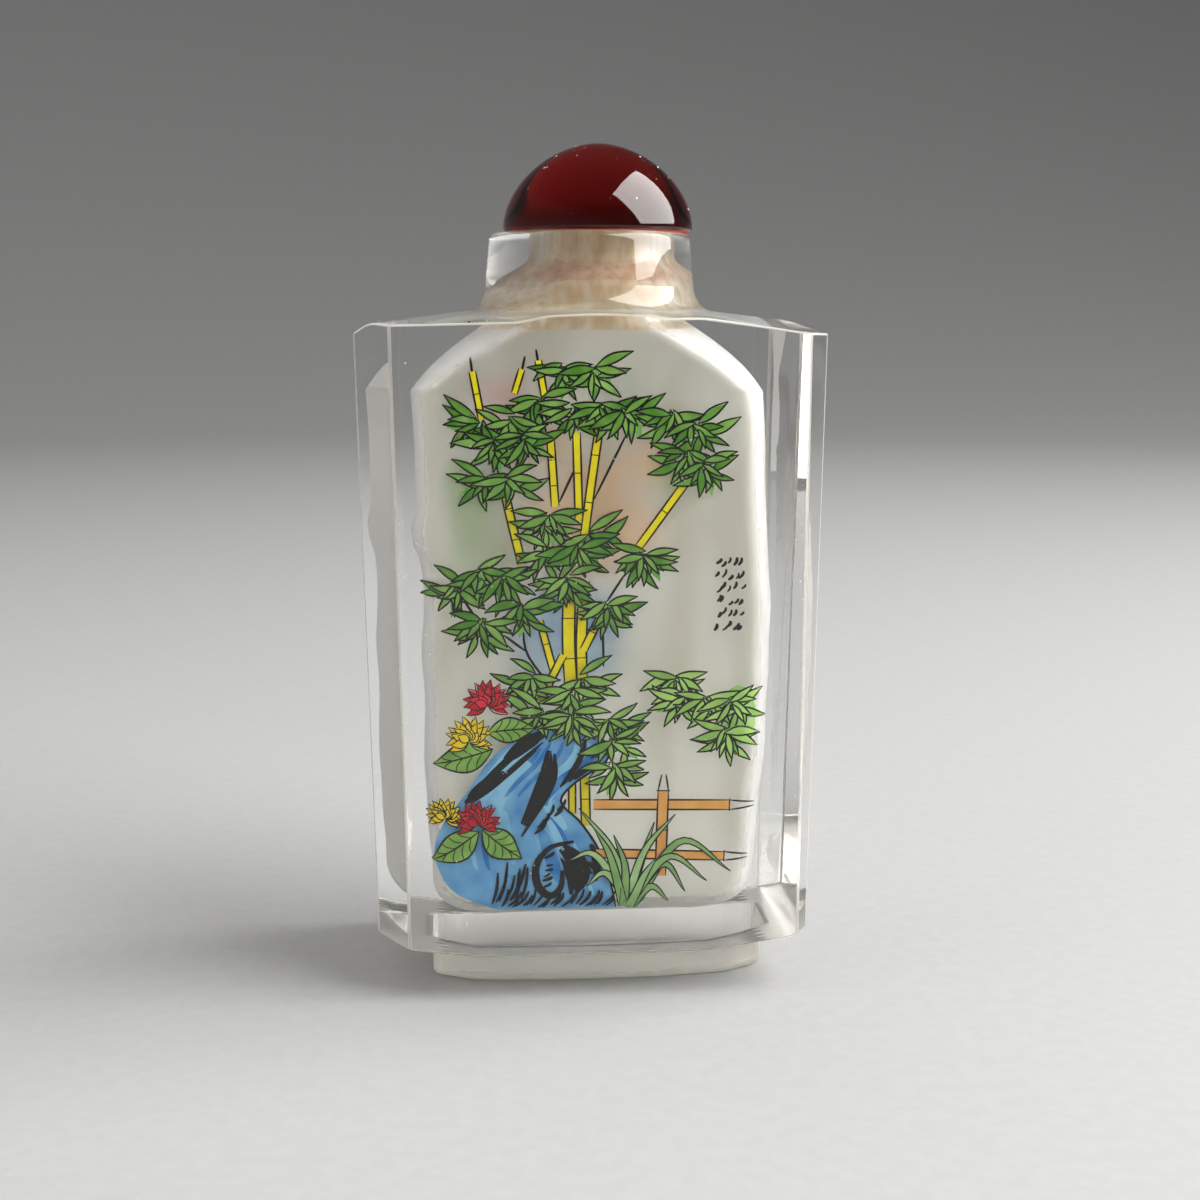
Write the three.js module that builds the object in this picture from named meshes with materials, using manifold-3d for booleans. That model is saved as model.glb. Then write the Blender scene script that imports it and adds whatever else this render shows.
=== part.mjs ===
// A small glass bottle with a painted inside: a tapered, hand-bevelled block of clear glass on a low foot,
// a short round neck, and a red glass dome on a cork that closes the mouth.
// Millimetres, +Z up, front toward -Y, origin at the middle of the foot's underside.

import * as THREE from 'three';
import { mergeVertices } from 'three/addons/utils/BufferGeometryUtils.js';
import Module from 'manifold-3d';

const wasm = await Module();
wasm.setup();

// Body of the bottle, seen from the front
const DEPTH = 24;
const HALF_DEPTH = DEPTH / 2;
const TOP_HALF_WIDTH = 21.6;
const BOTTOM_HALF_WIDTH = 20.4;
const SIDE_TOP_Z = 62.5;
const SIDE_BOTTOM_Z = 6.1;
const SHOULDER_END = { x: 20.2, z: 63.4 };
const SHOULDER_NECK = { x: 11, z: 64.5 };
const BELLY_END = { x: 18.6, z: 5.4 };
const BELLY_FLAT = { x: 11, z: 4.3 };

// Ground bevels on the four upright edges, each narrower toward the foot
const BEVELS = [
  { side: -1, face: -1, top: 3.3, bottom: 3.0 },
  { side: 1, face: -1, top: 1.9, bottom: 1.0 },
  { side: -1, face: 1, top: 2.4, bottom: 1.6 },
  { side: 1, face: 1, top: 2.8, bottom: 2.2 },
];
const CUTTER_SIZE = 120;

// The shoulder falls from a ridge toward the front and back edges, unevenly on the two sides
const CROWN_RIDGE_Y = 4.5;
const CROWNS = [
  { side: -1, neckDrop: 1.1, endDrop: 0.2 },
  { side: 1, neckDrop: 0.8, endDrop: 1.0 },
];

// Neck, flaring out into the shoulder
const NECK_X = 0.5;
const NECK_TOP_RADIUS = 9.6;
const NECK_LOW_RADIUS = 9.9;
const NECK_RIM_Z = 71.7;
const NECK_ROOT_Z = 60;
const RIM_ROUND = 0.9;
const FLARE_RADIUS = 2.8;
const FLARE_FOOT_Z = 64.1;

// Foot, bowed along its front and back
const FOOT_X = 0.9;
const FOOT_HALF_WIDTH = 16.2;
const FOOT_BOW_END_X = 13;
const FOOT_BOW_END_Y = 6.7;
const FOOT_BOW_MIDDLE_Y = 7.9;
const FOOT_END_Y = 4.9;
const FOOT_EDGE = 0.9;
const FOOT_ROOT_Z = 5.6;

// Hollow inside the bottle
const HOLLOW_HALF_DEPTH = 7;
const HOLLOW_ROUND = 3;
const HOLLOW_FLOOR_Z = 7;
const HOLLOW_FLOOR_ROUND = 4.2;
const HOLLOW_SIDE_TOP_Z = 57;
const HOLLOW_ROOF = { x: 8.5, z: 63.8 };
const HOLLOW_ROOF_BEND = { x: 15.6, z: 61.2 };
const HOLLOW_LEFT = [
  { x: -16.5, z: 57 },
  { x: -16.4, z: 46 },
  { x: -15.8, z: 33 },
  { x: -15.7, z: 19 },
];
const HOLLOW_RIGHT = [
  { x: 16.3, z: 57 },
  { x: 16.7, z: 46 },
  { x: 17.2, z: 35 },
  { x: 16.5, z: 19 },
];
const HOLLOW_LEFT_FLOOR_X = -15.3;
const HOLLOW_RIGHT_FLOOR_X = 15.8;

// Mouth, and the throat that widens below it
const MOUTH_X = 1.3;
const MOUTH_RADIUS = 4.6;
const MOUTH_LAND_Z = 69.2;
const MOUTH_OVERCUT = 1;
const THROAT_RADIUS = 6.8;
const THROAT_Z = 66.4;
const THROAT_ROOT_Z = 58;
const THROAT_FLARE_RADIUS = 6.9;

// Stopper: a red dome that rests on the rim and a cork below it
const DOME_RADIUS = 9;
const DOME_HEIGHT = 8.3;
const DOME_FULLNESS = 1.82;
const DOME_EDGE = 0.35;
const CORK_RADIUS = 4.3;
const CORK_LOW_RADIUS = 4.05;
const CORK_LOW_Z = 63;
const CORK_EDGE = 0.4;

// Smoothness of the round forms
const NECK_SIDES = 64;
const DOME_SIDES = 56;
const DOME_STEPS = 14;
const CORK_SIDES = 40;
const ARC_STEPS = 6;
const FOOT_EDGE_STEPS = 3;
const MERGE_DISTANCE = 1e-4;
const CURVE_STEPS = 10;

// A closed geometry as a solid that can be joined and cut
function toSolid(geometry) {
  const bare = geometry.clone();
  bare.deleteAttribute('normal');
  bare.deleteAttribute('uv');
  const merged = mergeVertices(bare, MERGE_DISTANCE);
  const mesh = new wasm.Mesh({
    numProp: 3,
    vertProperties: new Float32Array(merged.attributes.position.array),
    triVerts: new Uint32Array(merged.index.array),
  });
  return new wasm.Manifold(mesh);
}

// A solid back as a geometry with faceted shading
function toGeometry(solid) {
  const mesh = solid.getMesh();
  const geometry = new THREE.BufferGeometry();
  geometry.setAttribute('position', new THREE.BufferAttribute(mesh.vertProperties, 3));
  geometry.setIndex(new THREE.BufferAttribute(mesh.triVerts, 1));
  geometry.computeVertexNormals();
  return geometry;
}

// A shape drawn in X and Z, given a depth that is centred on Y = 0
function standingSlab(shape, depth, options) {
  const geometry = new THREE.ExtrudeGeometry(shape, { depth, bevelEnabled: false, ...options });
  geometry.translate(0, 0, -depth / 2);
  geometry.rotateX(Math.PI / 2);
  return geometry;
}

// A profile of radius and height turned about an upright axis at X = centre
function turned(profile, sides, centre) {
  const geometry = new THREE.LatheGeometry(profile, sides);
  geometry.rotateX(Math.PI / 2);
  geometry.translate(centre, 0, 0);
  return geometry;
}

// Points of a quarter arc, from one angle to another in degrees
function arcPoints(centreX, centreZ, radius, fromDegrees, toDegrees) {
  const points = [];
  for (let step = 0; step <= ARC_STEPS; step += 1) {
    const share = step / ARC_STEPS;
    const angle = THREE.MathUtils.degToRad(THREE.MathUtils.lerp(fromDegrees, toDegrees, share));
    points.push(new THREE.Vector2(centreX + radius * Math.cos(angle), centreZ + radius * Math.sin(angle)));
  }
  return points;
}

// Takes away all that lies beyond the plane through three points, seen from the middle of the body
function cutBeyond(solid, first, second, third) {
  const along = second.clone().sub(first);
  const across = third.clone().sub(first);
  const outward = along.cross(across).normalize();
  const middle = new THREE.Vector3(0, 0, SIDE_TOP_Z / 2);
  if (outward.dot(first.clone().sub(middle)) < 0) {
    outward.negate();
  }
  const cutter = new THREE.BoxGeometry(CUTTER_SIZE, CUTTER_SIZE, CUTTER_SIZE);
  cutter.translate(0, 0, CUTTER_SIZE / 2);
  cutter.applyQuaternion(new THREE.Quaternion().setFromUnitVectors(new THREE.Vector3(0, 0, 1), outward));
  cutter.translate(first.x, first.y, first.z);
  return solid.subtract(toSolid(cutter));
}

// The block of the body with its sloping shoulders, ground bevels and crowned top
function makeBody() {
  const outline = new THREE.Shape();
  outline.moveTo(-BELLY_FLAT.x, BELLY_FLAT.z);
  outline.lineTo(BELLY_FLAT.x, BELLY_FLAT.z);
  outline.lineTo(BELLY_END.x, BELLY_END.z);
  outline.lineTo(BOTTOM_HALF_WIDTH, SIDE_BOTTOM_Z);
  outline.lineTo(TOP_HALF_WIDTH, SIDE_TOP_Z);
  outline.lineTo(SHOULDER_END.x, SHOULDER_END.z);
  outline.lineTo(SHOULDER_NECK.x, SHOULDER_NECK.z);
  outline.lineTo(-SHOULDER_NECK.x, SHOULDER_NECK.z);
  outline.lineTo(-SHOULDER_END.x, SHOULDER_END.z);
  outline.lineTo(-TOP_HALF_WIDTH, SIDE_TOP_Z);
  outline.lineTo(-BOTTOM_HALF_WIDTH, SIDE_BOTTOM_Z);
  outline.lineTo(-BELLY_END.x, BELLY_END.z);
  let body = toSolid(standingSlab(outline, DEPTH));
  for (const { side, face, top, bottom } of BEVELS) {
    const faceY = face * HALF_DEPTH;
    const faceTop = new THREE.Vector3(side * (TOP_HALF_WIDTH - top), faceY, SIDE_TOP_Z);
    const faceBottom = new THREE.Vector3(side * (BOTTOM_HALF_WIDTH - bottom), faceY, SIDE_BOTTOM_Z);
    const sideTop = new THREE.Vector3(side * TOP_HALF_WIDTH, face * (HALF_DEPTH - top), SIDE_TOP_Z);
    body = cutBeyond(body, faceTop, faceBottom, sideTop);
  }
  for (const { side, neckDrop, endDrop } of CROWNS) {
    for (const face of [-1, 1]) {
      const faceY = face * HALF_DEPTH;
      const neckX = side * SHOULDER_NECK.x;
      const ridge = new THREE.Vector3(neckX, face * CROWN_RIDGE_Y, SHOULDER_NECK.z);
      const edgeNeck = new THREE.Vector3(neckX, faceY, SHOULDER_NECK.z - neckDrop);
      const edgeEnd = new THREE.Vector3(side * SHOULDER_END.x, faceY, SHOULDER_END.z - endDrop);
      body = cutBeyond(body, ridge, edgeNeck, edgeEnd);
    }
  }
  return body;
}

// The round neck, rounded at its rim and flared where it grows out of the shoulder
function makeNeck() {
  const flareCentre = NECK_LOW_RADIUS + FLARE_RADIUS;
  const profile = [
    new THREE.Vector2(0, NECK_ROOT_Z),
    new THREE.Vector2(flareCentre, NECK_ROOT_Z),
    ...arcPoints(flareCentre, FLARE_FOOT_Z + FLARE_RADIUS, FLARE_RADIUS, 270, 180),
    ...arcPoints(NECK_TOP_RADIUS - RIM_ROUND, NECK_RIM_Z - RIM_ROUND, RIM_ROUND, 0, 90),
    new THREE.Vector2(0, NECK_RIM_Z),
  ];
  const betweenFaces = new THREE.BoxGeometry(CUTTER_SIZE, DEPTH, CUTTER_SIZE);
  betweenFaces.translate(0, 0, NECK_ROOT_Z);
  return toSolid(turned(profile, NECK_SIDES, NECK_X)).intersect(toSolid(betweenFaces));
}

// The low foot, bowed at front and back, cut at its corners and rounded along its lower edge
function makeFoot() {
  const outline = new THREE.Shape();
  const bowPull = 2 * FOOT_BOW_MIDDLE_Y - FOOT_BOW_END_Y;
  outline.moveTo(-FOOT_BOW_END_X, -FOOT_BOW_END_Y);
  outline.quadraticCurveTo(0, -bowPull, FOOT_BOW_END_X, -FOOT_BOW_END_Y);
  outline.lineTo(FOOT_HALF_WIDTH, -FOOT_END_Y);
  outline.lineTo(FOOT_HALF_WIDTH, FOOT_END_Y);
  outline.lineTo(FOOT_BOW_END_X, FOOT_BOW_END_Y);
  outline.quadraticCurveTo(0, bowPull, -FOOT_BOW_END_X, FOOT_BOW_END_Y);
  outline.lineTo(-FOOT_HALF_WIDTH, FOOT_END_Y);
  outline.lineTo(-FOOT_HALF_WIDTH, -FOOT_END_Y);
  const geometry = new THREE.ExtrudeGeometry(outline, {
    depth: FOOT_ROOT_Z - 2 * FOOT_EDGE,
    curveSegments: CURVE_STEPS,
    bevelSize: FOOT_EDGE,
    bevelThickness: FOOT_EDGE,
    bevelOffset: -FOOT_EDGE,
    bevelSegments: FOOT_EDGE_STEPS,
  });
  geometry.translate(FOOT_X, 0, FOOT_EDGE);
  return toSolid(geometry);
}

// The hollow: a rounded slab with uneven sides, a funnel under the neck and a straight mouth
function makeHollow() {
  const left = HOLLOW_LEFT.map(({ x, z }) => new THREE.Vector2(x, z));
  const right = HOLLOW_RIGHT.map(({ x, z }) => new THREE.Vector2(x, z)).reverse();
  const floorSideZ = HOLLOW_FLOOR_Z + HOLLOW_FLOOR_ROUND;
  left.push(new THREE.Vector2(HOLLOW_LEFT_FLOOR_X, floorSideZ));
  right.unshift(new THREE.Vector2(HOLLOW_RIGHT_FLOOR_X, floorSideZ));
  const outline = new THREE.Shape();
  outline.moveTo(HOLLOW_LEFT[0].x, HOLLOW_SIDE_TOP_Z);
  outline.splineThru(left.slice(1));
  const floorLeftX = HOLLOW_LEFT_FLOOR_X + HOLLOW_FLOOR_ROUND;
  const floorRightX = HOLLOW_RIGHT_FLOOR_X - HOLLOW_FLOOR_ROUND;
  outline.quadraticCurveTo(HOLLOW_LEFT_FLOOR_X, HOLLOW_FLOOR_Z, floorLeftX, HOLLOW_FLOOR_Z);
  outline.lineTo(floorRightX, HOLLOW_FLOOR_Z);
  outline.quadraticCurveTo(HOLLOW_RIGHT_FLOOR_X, HOLLOW_FLOOR_Z, HOLLOW_RIGHT_FLOOR_X, floorSideZ);
  outline.splineThru(right.slice(1));
  outline.quadraticCurveTo(HOLLOW_ROOF_BEND.x, HOLLOW_ROOF_BEND.z, HOLLOW_ROOF.x, HOLLOW_ROOF.z);
  outline.lineTo(-HOLLOW_ROOF.x, HOLLOW_ROOF.z);
  outline.quadraticCurveTo(-HOLLOW_ROOF_BEND.x, HOLLOW_ROOF_BEND.z, HOLLOW_LEFT[0].x, HOLLOW_SIDE_TOP_Z);
  const slab = standingSlab(outline, 2 * (HOLLOW_HALF_DEPTH - HOLLOW_ROUND), {
    curveSegments: CURVE_STEPS,
    bevelEnabled: true,
    bevelSize: HOLLOW_ROUND,
    bevelThickness: HOLLOW_ROUND,
    bevelOffset: -HOLLOW_ROUND,
    bevelSegments: ARC_STEPS,
  });
  const throat = turned([
    new THREE.Vector2(0, THROAT_ROOT_Z),
    new THREE.Vector2(THROAT_FLARE_RADIUS, THROAT_ROOT_Z),
    new THREE.Vector2(THROAT_RADIUS, THROAT_Z),
    new THREE.Vector2(MOUTH_RADIUS, MOUTH_LAND_Z),
    new THREE.Vector2(MOUTH_RADIUS, NECK_RIM_Z + MOUTH_OVERCUT),
    new THREE.Vector2(0, NECK_RIM_Z + MOUTH_OVERCUT),
  ], NECK_SIDES, MOUTH_X);
  return toSolid(slab).add(toSolid(throat));
}

// The whole bottle is one piece of glass
function makeBottle() {
  return makeBody().add(makeNeck()).add(makeFoot()).subtract(makeHollow());
}

// The dome: a full, slightly pointed curve over a flat base with a softened edge
function makeDome() {
  const profile = [
    new THREE.Vector2(0, NECK_RIM_Z),
    new THREE.Vector2(DOME_RADIUS - DOME_EDGE, NECK_RIM_Z),
  ];
  const power = 2 / DOME_FULLNESS;
  for (let step = 0; step < DOME_STEPS; step += 1) {
    const angle = (Math.PI / 2) * (step / DOME_STEPS);
    const radius = DOME_RADIUS * Math.cos(angle) ** power;
    const rise = (DOME_HEIGHT - DOME_EDGE) * Math.sin(angle) ** power;
    profile.push(new THREE.Vector2(radius, NECK_RIM_Z + DOME_EDGE + rise));
  }
  profile.push(new THREE.Vector2(0, NECK_RIM_Z + DOME_HEIGHT));
  return turned(profile, DOME_SIDES, MOUTH_X);
}

// The cork: a plug that tapers a little and has a worn lower edge
function makeCork() {
  const profile = [
    new THREE.Vector2(0, CORK_LOW_Z),
    new THREE.Vector2(CORK_LOW_RADIUS - CORK_EDGE, CORK_LOW_Z),
    new THREE.Vector2(CORK_LOW_RADIUS, CORK_LOW_Z + CORK_EDGE),
    new THREE.Vector2(CORK_RADIUS, MOUTH_LAND_Z),
    new THREE.Vector2(CORK_RADIUS, NECK_RIM_Z),
    new THREE.Vector2(0, NECK_RIM_Z),
  ];
  return turned(profile, CORK_SIDES, MOUTH_X);
}

const clearGlass = new THREE.MeshStandardMaterial({ color: 0xdfe5e4, roughness: 0.05, metalness: 0 });
const redGlass = new THREE.MeshStandardMaterial({ color: 0x8c0d08, roughness: 0.08, metalness: 0 });
const paleCork = new THREE.MeshStandardMaterial({ color: 0xc9a877, roughness: 0.9, metalness: 0 });

function named(name, geometry, material) {
  const mesh = new THREE.Mesh(geometry, material);
  mesh.name = name;
  return mesh;
}

const snuffBottle = new THREE.Group();
snuffBottle.add(named('bottle', toGeometry(makeBottle()), clearGlass));

const stopper = new THREE.Group();
stopper.add(named('stopper_dome', makeDome(), redGlass));
stopper.add(named('stopper_cork', makeCork(), paleCork));
snuffBottle.add(stopper);

export default snuffBottle;
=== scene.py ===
"""Looks of a glass snuff bottle: clear glass, frosted hollow with painted walls, red dome on a cork."""

import math
import random

import bpy
import numpy as np
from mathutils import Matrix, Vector, noise


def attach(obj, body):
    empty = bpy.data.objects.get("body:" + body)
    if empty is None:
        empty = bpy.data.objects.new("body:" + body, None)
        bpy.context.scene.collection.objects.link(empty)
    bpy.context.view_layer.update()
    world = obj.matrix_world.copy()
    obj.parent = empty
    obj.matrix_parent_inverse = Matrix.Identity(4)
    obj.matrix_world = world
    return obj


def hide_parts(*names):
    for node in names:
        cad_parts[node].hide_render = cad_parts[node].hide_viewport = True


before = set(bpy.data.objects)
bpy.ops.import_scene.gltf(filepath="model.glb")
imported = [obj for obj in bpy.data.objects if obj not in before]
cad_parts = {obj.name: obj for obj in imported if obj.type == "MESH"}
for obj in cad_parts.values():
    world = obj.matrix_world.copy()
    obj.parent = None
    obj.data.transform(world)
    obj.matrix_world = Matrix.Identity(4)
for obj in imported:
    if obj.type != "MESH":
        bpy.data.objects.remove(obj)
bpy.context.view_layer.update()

# Sizes are in millimetres, in the frame of the part: +Z up, the painted front toward -Y
MM = 0.001
SEED = 11

# Body of the bottle
HALF_DEPTH = 12
TOP_HALF_WIDTH = 21.6
BOTTOM_HALF_WIDTH = 20.4
SIDE_TOP_Z = 62.5
SIDE_BOTTOM_Z = 6.1
SHOULDER_X = (11, 20.2, 21.6)
SHOULDER_Z = (64.5, 63.4, 62.5)
BELLY_X = (11, 18.6, 20.4)
BELLY_Z = (4.3, 5.4, 6.1)
EDGE_ROUND = 0.3
FACE_WAVE = 0.035
FACE_WAVE_LENGTH = 9

# Ground bevels as (top, bottom) widths: front left, front right, back right, back left
BEVELS = ((3.3, 3.0), (1.9, 1.0), (2.8, 2.2), (2.4, 1.6))

# Fall of the shoulder from its ridge to the front and back edges, as (neck drop, end drop)
CROWN_RIDGE_Y = 4.5
CROWN_LEFT = (1.1, 0.2)
CROWN_RIGHT = (0.8, 1.0)
CREASE_SOFTNESS = 0.15

# Neck and mouth
NECK_X = 0.5
NECK_TOP_RADIUS = 9.6
NECK_LOW_RADIUS = 9.9
RIM_Z = 71.7
RIM_ROUND = 0.9
FLARE_RADIUS = 2.8
FLARE_FOOT_Z = 64.1
FLARE_APRON = 0.5
MOUTH_X = 1.3
MOUTH_RADIUS = 4.6
MOUTH_EDGE = 0.3
MOUTH_LAND_Z = 69.2
THROAT_RADIUS = 6.8
THROAT_Z = 66.4

# Foot
FOOT_X = 0.9
FOOT_HALF_WIDTH = 16.2
FOOT_BOW_END = (13, 6.7)
FOOT_BOW_MIDDLE_Y = 7.9
FOOT_END_Y = 4.9
FOOT_EDGE = 0.9

# Hollow
HOLLOW_HALF_DEPTH = 7
HOLLOW_ROUND = 3
HOLLOW_FLOOR_Z = 7
HOLLOW_FLOOR_ROUND = 4.2
HOLLOW_SIDE_TOP_Z = 57
HOLLOW_ROOF = (8.5, 63.8)
HOLLOW_ROOF_BEND = (14.4, 60.4)
HOLLOW_LEFT = (
    (11.2, -15.3), (19, -15.7), (33, -15.8), (41.8, -16.1), (43.4, -16.7), (46, -16.4), (57, -16.5),
)
HOLLOW_RIGHT = ((11.2, 15.8), (19, 16.5), (35, 17.2), (46, 16.7), (57, 16.3))
PAINTED_WALL_FACING = 0.75
SIDE_WAVE = 0.28
SIDE_WAVE_LENGTH = 5

# Stopper
DOME_RADIUS = 9
DOME_HEIGHT = 8.3
DOME_FULLNESS = 1.82
DOME_EDGE = 0.35
DOME_BASE_FACING = -0.9
CORK_RADIUS = 4.3
CORK_LOW_RADIUS = 4.05
CORK_LOW_Z = 63
CORK_EDGE = 0.4
CORK_PIT = 0.16
CORK_PIT_SCALES = (1.4, 3.1)
AIR_GAP = 0.04

# Fineness of the meshes, and the share of a flat end's size at which a ring lies in it
FACE_STEPS = 56
SIDE_STEPS = 30
BEVEL_STEPS = 6
BODY_STATIONS = 32
SHOULDER_STATIONS = 22
ARC_STATIONS = 7
HOLLOW_STATIONS = 30
STAINED_STATIONS = 3
ROUND_STEPS = 96
OUTLINE_STEPS = 24
SPECK_SIDES = 7
DISH_STATIONS = 24
EDGE_SEGMENTS = 3
INNER_RING = 0.5

# Films of paint, and the ink line
FIRST_FILM = 0.06
FILM_STEP = 0.0012
INK_LIFT = 0.0006
CURVED_FINENESS = 3
INK_WIDTH = 0.18
PETAL_INK = 0.12

# Dust and chips, with the smudge's places as (middle, spread) and each edge as (x, heights)
DUST_COUNT = 190
DUST_X = (-17, 19)
DUST_Z = (7, 60)
CHIP_COUNT = 30
CHIP_SCATTER = 0.25
CHIPPED_EDGES = ((19.2, (12, 58)), (-17.6, (8, 50)))
SMUDGE_X = (-17.3, 0.5)
SMUDGE_Z = (41.8, 0.9)
DOME_DUST_COUNT = 34
DOME_DUST_TURNS = (0.1, 1.3)
SMALLEST_SPECK = 0.025
FACE_SPECK = 0.06
DOME_SPECK = 0.12
SPECK_REACH = (0.6, 1.3)
SPECK_HEIGHT = 0.4

# Studio dish and light
SKY_COLOUR = (0.5, 0.51, 0.53, 1)
SKY_STRENGTH = 0.12
DAYLIGHT = (1, 0.98, 0.95)
LAMPLIGHT = (1, 0.95, 0.87)
DISH_FLAT = 700
DISH_SWEEP = 900
DISH_HEIGHT = 1500

# Camera, as fitted to the photograph
LENS = 54
SENSOR = 36
CAMERA_PLACE = (-13.7, -174, 65.5)
CAMERA_PITCH = 9.49
CAMERA_YAW = 5
CLIP_START = 10


def srgb(red, green, blue):
    """A screen colour, from 0 to 255, as a shader's linear colour."""
    shares = [channel / 255 for channel in (red, green, blue)]
    linear = [share / 12.92 if share <= 0.04045 else ((share + 0.055) / 1.055) ** 2.4 for share in shares]
    return (*linear, 1)


# Meshes

def ease(share):
    """A share from 0 to 1 that starts and ends slowly."""
    return share * share * (3 - 2 * share)


def mix(start, end, share):
    return start + share * (end - start)


def smooth_through(points, at):
    """Values at the given places on a smooth curve through (place, value) points."""
    places, values = np.array(points, float).T
    slopes = np.gradient(values, places)
    index = np.clip(np.searchsorted(places, at) - 1, 0, len(places) - 2)
    step = places[index + 1] - places[index]
    share = np.clip((at - places[index]) / step, 0, 1)
    start_pull = share * (1 - share) ** 2 * step * slopes[index]
    end_pull = share * share * (share - 1) * step * slopes[index + 1]
    return mix(values[index], values[index + 1], ease(share)) + start_pull + end_pull


def add_object(name, data):
    """An object of the scene for a mesh, a light or a camera."""
    made = bpy.data.objects.new(name, data)
    bpy.context.scene.collection.objects.link(made)
    return made


def mesh_object(name, points, faces, materials, smooth=True):
    """A mesh object from points in millimetres."""
    mesh = bpy.data.meshes.new(name)
    mesh.from_pydata((np.asarray(points, float) * MM).tolist(), [], faces)
    for material in materials:
        mesh.materials.append(material)
    mesh.polygons.foreach_set("use_smooth", [smooth] * len(mesh.polygons))
    mesh.update()
    return add_object(name, mesh)


def loft(rings):
    """Points and faces of a closed skin through rings of equal count, with a fan over each end."""
    count = len(rings[0])
    points = np.concatenate([*rings, [rings[0].mean(axis=0)], [rings[-1].mean(axis=0)]])
    first_centre = len(rings) * count
    last_centre = first_centre + 1
    faces = []
    for ring in range(len(rings) - 1):
        low = ring * count
        high = low + count
        for index in range(count):
            after = (index + 1) % count
            faces.append((low + index, low + after, high + after, high + index))
    top = (len(rings) - 1) * count
    for index in range(count):
        after = (index + 1) % count
        faces.append((first_centre, after, index))
        faces.append((last_centre, top + index, top + after))
    return points, faces


def ring_at(plan, height):
    """A ring from points in plan and one height, or one for each point."""
    heights = np.broadcast_to(np.asarray(height, float), (len(plan),))
    return np.column_stack([plan, heights])


def circle(centre_x, radius, angles):
    return np.column_stack([centre_x + radius * np.cos(angles), radius * np.sin(angles)])


def dense(corners):
    """A closed outline with steps along each straight edge."""
    corners = np.array(corners, float)
    shares = np.linspace(0, 1, OUTLINE_STEPS, endpoint=False)[:, None]
    return np.concatenate([mix(a, b, shares) for a, b in zip(corners, np.roll(corners, -1, axis=0))])


def seen_from(outline, centre_x, angles, inset=0.0):
    """Points where rays from a centre meet a closed outline, moved in by an inset."""
    offset = outline - (centre_x, 0)
    outline_angles = np.arctan2(offset[:, 1], offset[:, 0])
    radii = np.interp(angles, outline_angles, np.hypot(*offset.T), period=2 * np.pi)
    return circle(centre_x, radii - inset, angles)


def round_over(edge, stations=ARC_STATIONS):
    """Pairs of (inset, rise) round a lower edge of this radius, from the underside to the side."""
    turns = np.linspace(0, math.pi / 2, stations)
    return [(edge * (1 - math.sin(turn)), edge * (1 - math.cos(turn))) for turn in turns]


# Form of the bottle

CLEAR, FROSTED, COARSE, LINED, GROUND, SATIN = range(6)
SEGMENT_STEPS = (FACE_STEPS, BEVEL_STEPS, SIDE_STEPS, BEVEL_STEPS) * 2
SEGMENT = np.repeat(np.arange(len(SEGMENT_STEPS)), SEGMENT_STEPS)
SEGMENT_SHARE = np.concatenate([np.linspace(0, 1, steps, endpoint=False) for steps in SEGMENT_STEPS])


def body_plan(heights):
    """Points round the bevelled body, each at its own height."""
    up = (heights - SIDE_BOTTOM_Z) / (SIDE_TOP_Z - SIDE_BOTTOM_Z)
    half_width = mix(BOTTOM_HALF_WIDTH, TOP_HALF_WIDTH, up)
    front_left, front_right, back_right, back_left = (mix(low, top, up) for top, low in BEVELS)
    deep = np.full_like(half_width, HALF_DEPTH)
    corners = np.array([
        (front_left - half_width, -deep),
        (half_width - front_right, -deep),
        (half_width, front_right - deep),
        (half_width, deep - back_right),
        (half_width - back_right, deep),
        (back_left - half_width, deep),
        (-half_width, deep - back_left),
        (-half_width, front_left - deep),
    ])
    place = np.arange(len(heights))
    start = corners[SEGMENT, :, place]
    end = corners[(SEGMENT + 1) % len(corners), :, place]
    return mix(start, end, SEGMENT_SHARE[:, None])


def soft_lower(first, second):
    """The lower of two heights, with the crease between them softened."""
    gap = np.maximum(CREASE_SOFTNESS - np.abs(first - second), 0) / CREASE_SOFTNESS
    return np.minimum(first, second) - gap * gap * CREASE_SOFTNESS / 4


def shoulder_height(plan):
    """Height of the shoulder over points in plan, with the neck's flare on it."""
    x, y = plan.T
    height = np.interp(np.abs(x), SHOULDER_X, SHOULDER_Z)
    for side, (neck_drop, end_drop) in ((-1, CROWN_LEFT), (1, CROWN_RIGHT)):
        edge_neck = SHOULDER_Z[0] - neck_drop
        edge_end = SHOULDER_Z[1] - end_drop
        along = (edge_end - edge_neck) / (SHOULDER_X[1] - SHOULDER_X[0])
        across = neck_drop / (HALF_DEPTH - CROWN_RIDGE_Y)
        crown = edge_neck + along * (side * x - SHOULDER_X[0]) + across * (HALF_DEPTH - np.abs(y))
        height = soft_lower(height, crown)
    outward = np.hypot(x - NECK_X, y) - NECK_LOW_RADIUS
    inward = np.clip(FLARE_RADIUS - outward, 0, FLARE_RADIUS)
    apron = FLARE_APRON * np.maximum(outward - FLARE_RADIUS, 0)
    flare = FLARE_FOOT_Z + FLARE_RADIUS - np.sqrt(FLARE_RADIUS ** 2 - inward ** 2) - apron
    return -soft_lower(-height, -flare)


def belly_height(plan):
    return np.interp(np.abs(plan[:, 0]), BELLY_X, BELLY_Z)


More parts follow.
